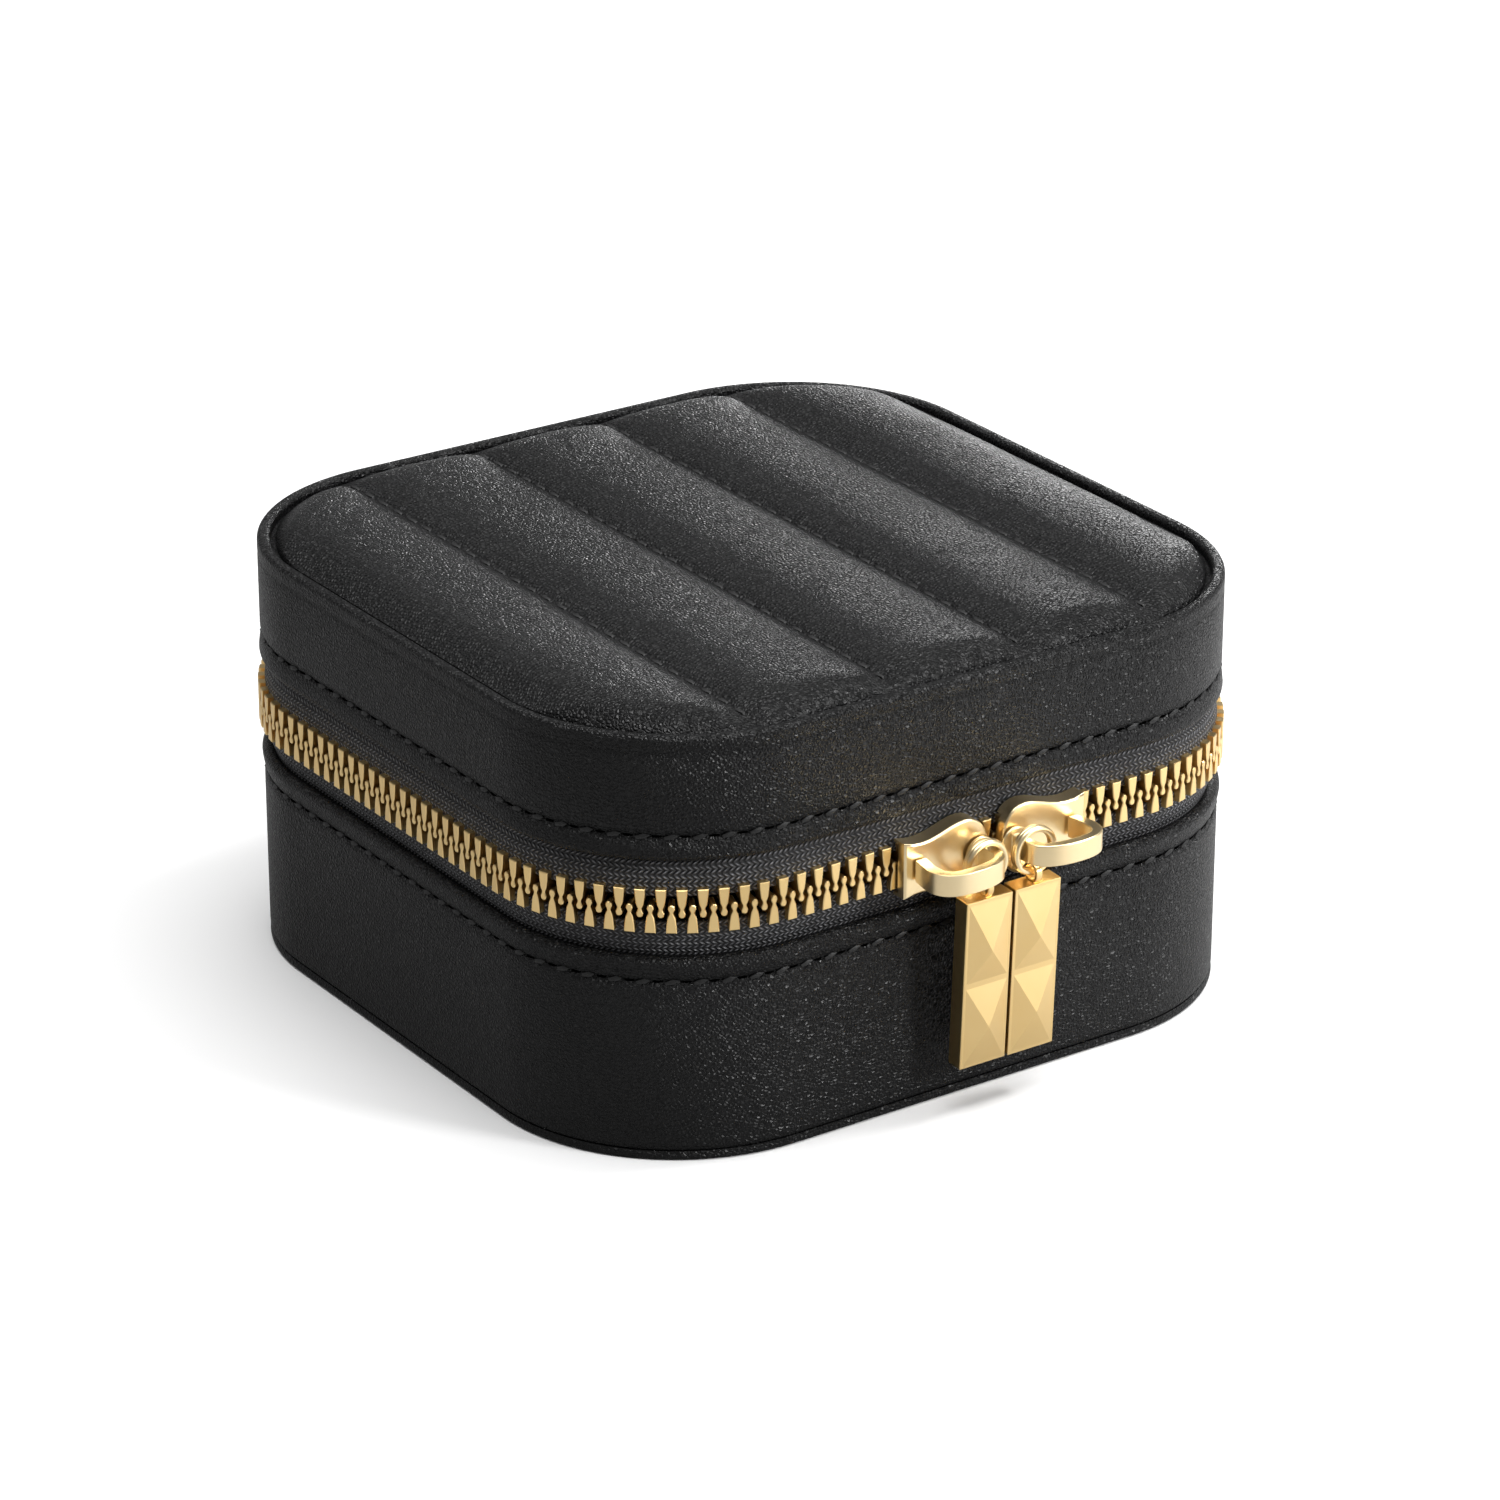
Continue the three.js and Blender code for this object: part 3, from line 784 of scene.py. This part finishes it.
def makeRing(name, node, body):
    # a split ring: two turns of wire side by side
    low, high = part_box(node)
    centre = (low + high) / 2
    wire = (high.y - low.y) / 4 + splitRing["extra"]
    radius = (high.z - low.z) / 2 - wire
    bm = bmesh.new()
    circle = bmesh.ops.create_circle(bm, segments=16, radius=wire, cap_ends=True)["verts"]
    bmesh.ops.translate(bm, vec=(centre.x + radius, centre.y - wire, centre.z), verts=circle)
    steps = 2 * splitRing["stepsPerTurn"]
    start = Matrix.Rotation(math.radians(splitRing["start"]), 3, "Y")
    bmesh.ops.rotate(bm, cent=centre, matrix=start, verts=circle)
    bmesh.ops.spin(bm, geom=bm.faces[:] + bm.edges[:] + bm.verts[:], cent=centre, axis=(0, 1, 0),
                   angle=4 * math.pi, steps=steps, dvec=(0, 2 * wire / steps, 0), use_merge=False)
    bmesh.ops.recalc_face_normals(bm, faces=bm.faces)
    makePiece(name, bm, body, plateGold, [node], 50)


slider = {"plateBack": 0.8 * mm, "flangeReach": 0.9 * mm, "flangeThick": 0.5 * mm, "teethReach": 3.3 * mm}


def makeFlanges(name, node, body):
    # the rims that hold the plate's back round the teeth, taken from the plate's own side faces
    bm = bmesh.new()
    bm.from_mesh(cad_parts[node].data)
    bmesh.ops.remove_doubles(bm, verts=bm.verts, dist=weld)
    plateBack = -halfDeep - slider["plateBack"]
    rest = [face for face in bm.faces
            if abs(face.normal.y) > 0.2 or max(vert.co.y for vert in face.verts) > plateBack + 0.1 * mm]
    bmesh.ops.delete(bm, geom=rest, context="FACES")
    for vert in bm.verts:
        reach = 0.02 * mm if vert.co.y < plateBack - 0.5 * mm else -slider["flangeReach"]
        vert.co.y = plateBack - reach
    bmesh.ops.recalc_face_normals(bm, faces=bm.faces)
    if sum((face.calc_center_median().z - zipLevel) * face.normal.z for face in bm.faces) < 0:
        bmesh.ops.reverse_faces(bm, faces=bm.faces)
    bmesh.ops.solidify(bm, geom=bm.faces[:], thickness=slider["flangeThick"])
    halves = bmesh.new()
    for up in (1, -1):
        part = bm.copy()
        bmesh.ops.bisect_plane(part, geom=part.faces[:] + part.edges[:] + part.verts[:], clear_inner=up > 0,
                               clear_outer=up < 0, plane_co=(0, 0, zipLevel + up * slider["teethReach"]),
                               plane_no=(0, 0, 1))
        bmesh.ops.holes_fill(part, edges=[edge for edge in part.edges if edge.is_boundary], sides=0)
        mesh = bpy.data.meshes.new("half")
        part.to_mesh(mesh)
        part.free()
        halves.from_mesh(mesh)
    bm.free()
    bmesh.ops.recalc_face_normals(halves, faces=halves.faces)
    makePiece(name, halves, body, plateGold)


for side in ("left", "right"):
    plateBack = -halfDeep - slider["plateBack"] - 0.3 * mm
    refinedCopy(f"{side}Slider", f"slider_{side}_body", f"slider_{side}", metal["plateEdge"],
                plainFrom=plateBack)
    makeFlanges(f"{side}Flanges", f"slider_{side}_body", f"slider_{side}")
    refinedCopy(f"{side}Bridge", f"slider_{side}_bridge", f"slider_{side}", metal["bridgeEdge"])
    refinedCopy(f"{side}Pull", f"pull_bar_{side}", f"bar_{side}", metal["pullEdge"], angle=50, faceted=True)
    makeRing(f"{side}Ring", f"ring_{side}", f"ring_{side}")
print("sliders, rings and pulls ready")


# ---- inside

lining = {"thick": 1.0 * mm, "cove": 1.6 * mm, "foldOut": 2.3 * mm}


def makeLining(name, node, body, up):
    # a tray whose rim folds out over the board's edge
    low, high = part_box(node)
    outer, inner = halfWide - high.x, halfWide - high.x + lining["thick"]
    floor, rim = (low.z, high.z) if up > 0 else (high.z, low.z)
    cove = lining["cove"]
    fold = outer - lining["foldOut"]
    bottom = floor + up * lining["thick"]
    profile = [(outer, floor), (outer, rim - up * 0.2 * mm)]
    profile += [(fold, rim - up * 0.1 * mm), (fold, rim + up * 0.15 * mm)]
    profile += [(fold + 0.25 * mm, rim + up * 0.35 * mm), (inner - 0.5 * mm, rim + up * 0.35 * mm)]
    profile += [(inner - 0.1 * mm, rim), (inner, rim - up * 0.6 * mm), (inner, bottom + up * cove)]
    profile += [(inner + cove * 0.3, bottom + up * cove * 0.3), (inner + cove, bottom)]
    bm = bmesh.new()
    sweepWall(bm, profile, fillFirst=True, fillLast=True)
    makePiece(name, bm, body, velvet, [node])


rolls = {"count": 5, "segments": 32, "endRound": 0.3, "lump": 0.012, "pressure": 1.5, "frames": 8,
         "mostPuff": 0.12 * mm}


def makeRoll(number):
    # a velvet roll with gathered ends, slightly squeezed by its neighbours
    node = f"ring_roll_{number}"
    low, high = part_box(node)
    centre, size = (low + high) / 2, high - low
    bm = bmesh.new()
    made = bmesh.ops.create_cone(bm, segments=rolls["segments"], radius1=0.5, radius2=0.5, depth=1,
                                 cap_ends=True, cap_tris=False)
    ends = [edge for edge in bm.edges if all(abs(vert.co.z - edge.verts[0].co.z) < 0.01 for vert in edge.verts)]
    bmesh.ops.scale(bm, vec=(size.y, size.z, size.x), verts=made["verts"])
    bmesh.ops.bevel(bm, geom=ends, offset=size.z * rolls["endRound"], segments=5, profile=0.5,
                    affect="EDGES", material=-1)
    lengthwise = [edge for edge in bm.edges if abs(edge.verts[0].co.z - edge.verts[1].co.z) > size.x * 0.5]
    bmesh.ops.subdivide_edges(bm, edges=lengthwise, cuts=40, use_grid_fill=True)
    for vert in bm.verts:
        ripple = math.sin(vert.co.z * 410 + number * 2.1) * math.sin(vert.co.z * 173 + number)
        lumps = 1 + rolls["lump"] * ripple
        vert.co.x *= lumps
        vert.co.y *= min(1.0, lumps)
    bm.verts.index_update()
    pins = [vert.index for vert in bm.verts if abs(vert.co.z) > size.x * 0.49]
    places = inflate(bm, pins, rolls["pressure"], rolls["frames"])
    for vert in bm.verts:
        puff = places[vert.index] - vert.co
        vert.co += puff.normalized() * min(puff.length, rolls["mostPuff"])
    bmesh.ops.rotate(bm, cent=(0, 0, 0), matrix=Matrix.Rotation(math.pi / 2, 3, "Y"), verts=bm.verts)
    bmesh.ops.translate(bm, vec=centre, verts=bm.verts)
    piece = makePiece(f"ringRoll{number}", bm, "base", velvet, [node], 60)


divider = {"edge": 0.8 * mm, "segments": 4}


def makeDivider(name, node):
    bm = bmesh.new()
    bm.from_mesh(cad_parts[node].data)
    bmesh.ops.remove_doubles(bm, verts=bm.verts, dist=weld)
    bmesh.ops.dissolve_limit(bm, angle_limit=math.radians(1), verts=bm.verts, edges=bm.edges)
    bmesh.ops.bevel(bm, geom=bm.edges[:], offset=divider["edge"], segments=divider["segments"], profile=0.5,
                    affect="EDGES", material=-1)
    makePiece(name, bm, "base", velvet, [node])


mirrorFrame = {"overlap": 0.3 * mm, "round": 1.2 * mm}


def makeMirrorFrame():
    low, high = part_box("mirror_frame")
    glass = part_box("mirror_glass")[1]
    outer, inner = halfWide - high.x, halfWide - glass.x - mirrorFrame["overlap"]
    rounding = mirrorFrame["round"]
    profile = [(outer, high.z)]
    profile += arcPoints((outer + rounding, low.z + rounding), rounding, 180, 270, 5)
    profile += arcPoints((inner - rounding, low.z + rounding), rounding, 270, 360, 5)
    profile += [(inner, high.z), (outer, high.z)]
    bm = bmesh.new()
    sweepWall(bm, profile)
    makePiece("mirrorFrame", bm, "lid", smoothLeather, ["mirror_frame"])


makeLining("baseLining", "base_lining", "base", 1)
makeLining("lidLining", "lid_lining", "lid", -1)
for number in range(1, rolls["count"] + 1):
    makeRoll(number)
makeDivider("longDivider", "divider_long")
makeDivider("crossDivider", "divider_cross")
makeMirrorFrame()

kept = {"base_bottom_board": board, "base_wall_board": board, "lid_wall_board": board, "lid_top_board": board,
        "mirror_glass": mirrorFace}
for node, finish in kept.items():
    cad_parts[node].data.materials.clear()
    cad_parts[node].data.materials.append(finish)
print("inside ready")


# ---- floor, light and camera

# the two mirrored floor tones are painted shade that only reflections see
studio = {"azimuth": -34.26, "elevation": 23.67, "distance": 0.7329, "aim": (0, 0, 0.028), "lens": 136.14,
          "shift": (0.0085, -0.0021), "world": 0.22, "floor": (0.95, 0.95, 0.95, 1),
          "reflectedShadeLeft": (0.38, 0.38, 0.38, 1), "reflectedShadeRight": (0.64, 0.64, 0.64, 1)}
# each light's place, size, power and the point that it faces
lights = {"topLight": ((0.0, 0.0, 1.6), 1.6, 29, (0, 0, 0.03)),
          "keyLight": ((0.62, -0.18, 0.8), 0.25, 4.4, (0, 0, 0.03)),
          "backLight": ((0.8, 0.85, 0.06), 0.25, 1.7, (0, 0, 0.03)),
          "leftLight": ((-0.9, 0.1, 0.45), 0.35, 0.15, (0, 0, 0.03)),
          "frontLight": ((0.5, -0.8, 0.42), 0.22, 6.5, (0, 0, 0.03)),
          "lowPanel": ((0.119, -0.159, 0.04), 0.15, 0.03, (0.0, -0.057, 0.022))}


def makeFloor():
    bm = bmesh.new()
    bmesh.ops.create_circle(bm, cap_ends=True, segments=64, radius=4)
    mesh = bpy.data.meshes.new("floor")
    bm.to_mesh(mesh)
    bm.free()
    surface = Surface("paleFloor")
    # painted shade for reflections: rays other than camera rays see a greyer floor, darker on the left, which
    # gives the metal its contrast
    seen = surface.node("ShaderNodeLightPath").outputs["Is Camera Ray"]
    across = surface.node("ShaderNodeSeparateXYZ", None, {0: surface.position()}).outputs[0]
    rise = surface.node("ShaderNodeMapRange", {"interpolation_type": "SMOOTHSTEP"},
                        {"Value": across, "From Min": -0.01, "From Max": 0.05}).outputs[0]
    reflectedShade = surface.blendColours(rise, studio["reflectedShadeLeft"], studio["reflectedShadeRight"])
    tone = surface.blendColours(seen, reflectedShade, studio["floor"])
    surface.set(Base_Color=tone, Roughness=0.9, Specular_IOR_Level=0.0)
    mesh.materials.append(surface.material)
    floor = bpy.data.objects.new("floor", mesh)
    bpy.context.scene.collection.objects.link(floor)


def addLight(name, place, size, power, aim):
    data = bpy.data.lights.new(name, "AREA")
    data.shape, data.size, data.energy = "DISK", size, power
    light = bpy.data.objects.new(name, data)
    bpy.context.scene.collection.objects.link(light)
    light.visible_camera = False
    light.location = place
    light.rotation_mode = "QUATERNION"
    light.rotation_quaternion = (Vector(aim) - Vector(place)).to_track_quat("-Z", "Y")


def makeStudio():
    world = bpy.data.worlds.new("softWhite")
    world.use_nodes = True
    world.node_tree.nodes["Background"].inputs["Color"].default_value = (1, 1, 1, 1)
    world.node_tree.nodes["Background"].inputs["Strength"].default_value = studio["world"]
    bpy.context.scene.world = world
    for name, light in lights.items():
        addLight(name, *light)
    bpy.context.scene.view_settings.view_transform = "Standard"


def makeCamera():
    azimuth, elevation = math.radians(studio["azimuth"]), math.radians(studio["elevation"])
    back = Matrix.Rotation(azimuth, 3, "Z") @ Vector((0, -math.cos(elevation), math.sin(elevation)))
    data = bpy.data.cameras.new("photoCamera")
    data.lens, data.sensor_width = studio["lens"], 36
    data.shift_x, data.shift_y = studio["shift"]
    camera = bpy.data.objects.new("photoCamera", data)
    bpy.context.scene.collection.objects.link(camera)
    camera.location = Vector(studio["aim"]) + back * studio["distance"]
    camera.rotation_mode = "QUATERNION"
    camera.rotation_quaternion = (-back).to_track_quat("-Z", "Y")
    data.clip_start = 0.01
    bpy.context.scene.camera = camera


makeFloor()
makeStudio()
makeCamera()

print("scene ready")
